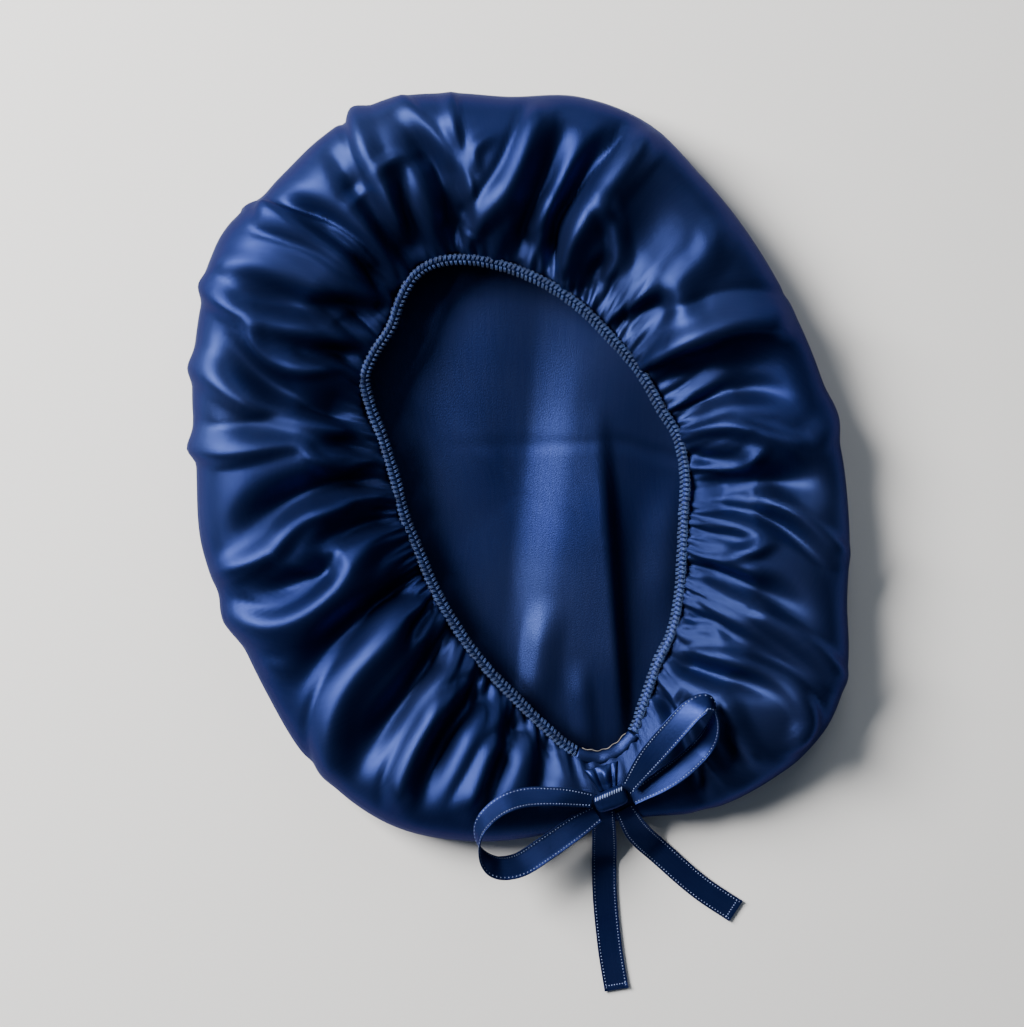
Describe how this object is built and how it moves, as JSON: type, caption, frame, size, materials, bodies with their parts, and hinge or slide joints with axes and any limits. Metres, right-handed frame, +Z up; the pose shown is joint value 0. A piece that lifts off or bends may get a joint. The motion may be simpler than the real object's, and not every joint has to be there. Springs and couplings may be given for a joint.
{
  "type": "sleep bonnet",
  "caption": "Gathered satin sleep bonnet lying on its crown, mouth up, with an overlocked elastic edge and a ribbon tied in a bow.",
  "frame": {"origin": "under the middle of the whole object's box, on the surface that the bonnet lies on", "axes": "+Z up out of the mouth, +Y from the bow to the far end of the bonnet, +X to the right seen from above"},
  "size_m": [0.2662, 0.3656, 0.0394],
  "materials": {
    "satin_cloth": "navy silk satin, soft sheen",
    "overlock_thread": "overlock stitches over cloth and elastic",
    "satin_ribbon": "navy satin ribbon with a picot edge"
  },
  "bodies": {
    "root": {"bonnet_cloth": "satin_cloth", "elastic_band": "overlock_thread", "exit_hem": "satin_cloth", "ribbon_lead": "satin_ribbon", "bow_knot": "satin_ribbon", "bow_loop_left": "satin_ribbon", "bow_loop_right": "satin_ribbon", "ribbon_tail_left": "satin_ribbon", "ribbon_tail_right": "satin_ribbon"}
  },
  "joints": []
}
